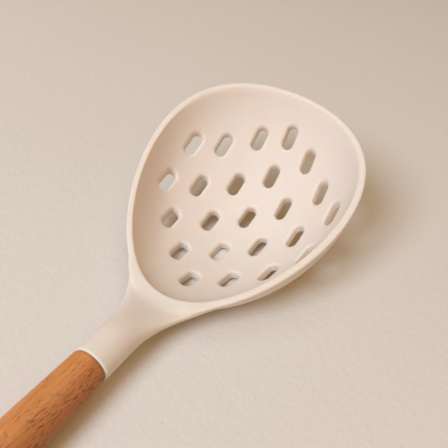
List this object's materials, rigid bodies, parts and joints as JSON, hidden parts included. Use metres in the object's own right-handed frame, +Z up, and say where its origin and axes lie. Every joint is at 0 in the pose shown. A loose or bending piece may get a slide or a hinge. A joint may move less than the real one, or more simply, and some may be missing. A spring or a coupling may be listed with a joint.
{
  "type": "silicone skimmer",
  "caption": "Slotted silicone skimmer: a deep egg-shaped bowl with staggered drain slots and a flared neck on a round beech handle with a hanging hole.",
  "frame": {"origin": "middle of the bounding box's bottom face: the ground under the tool's middle as it lies on its bowl and its handle's end", "axes": "+Y from the handle's end to the bowl's tip, +Z up with the bowl open upwards, +X to the tool's right side"},
  "size_m": [0.1092, 0.3407, 0.0702],
  "materials": {
    "silicone": "matte cream silicone",
    "core": "moulded nylon",
    "adhesive": "cured epoxy",
    "beech": "oiled beech"
  },
  "bodies": {
    "root": {"silicone_head": "silicone", "core_frame": "core", "tang_adhesive": "adhesive", "handle": "beech"}
  },
  "joints": []
}
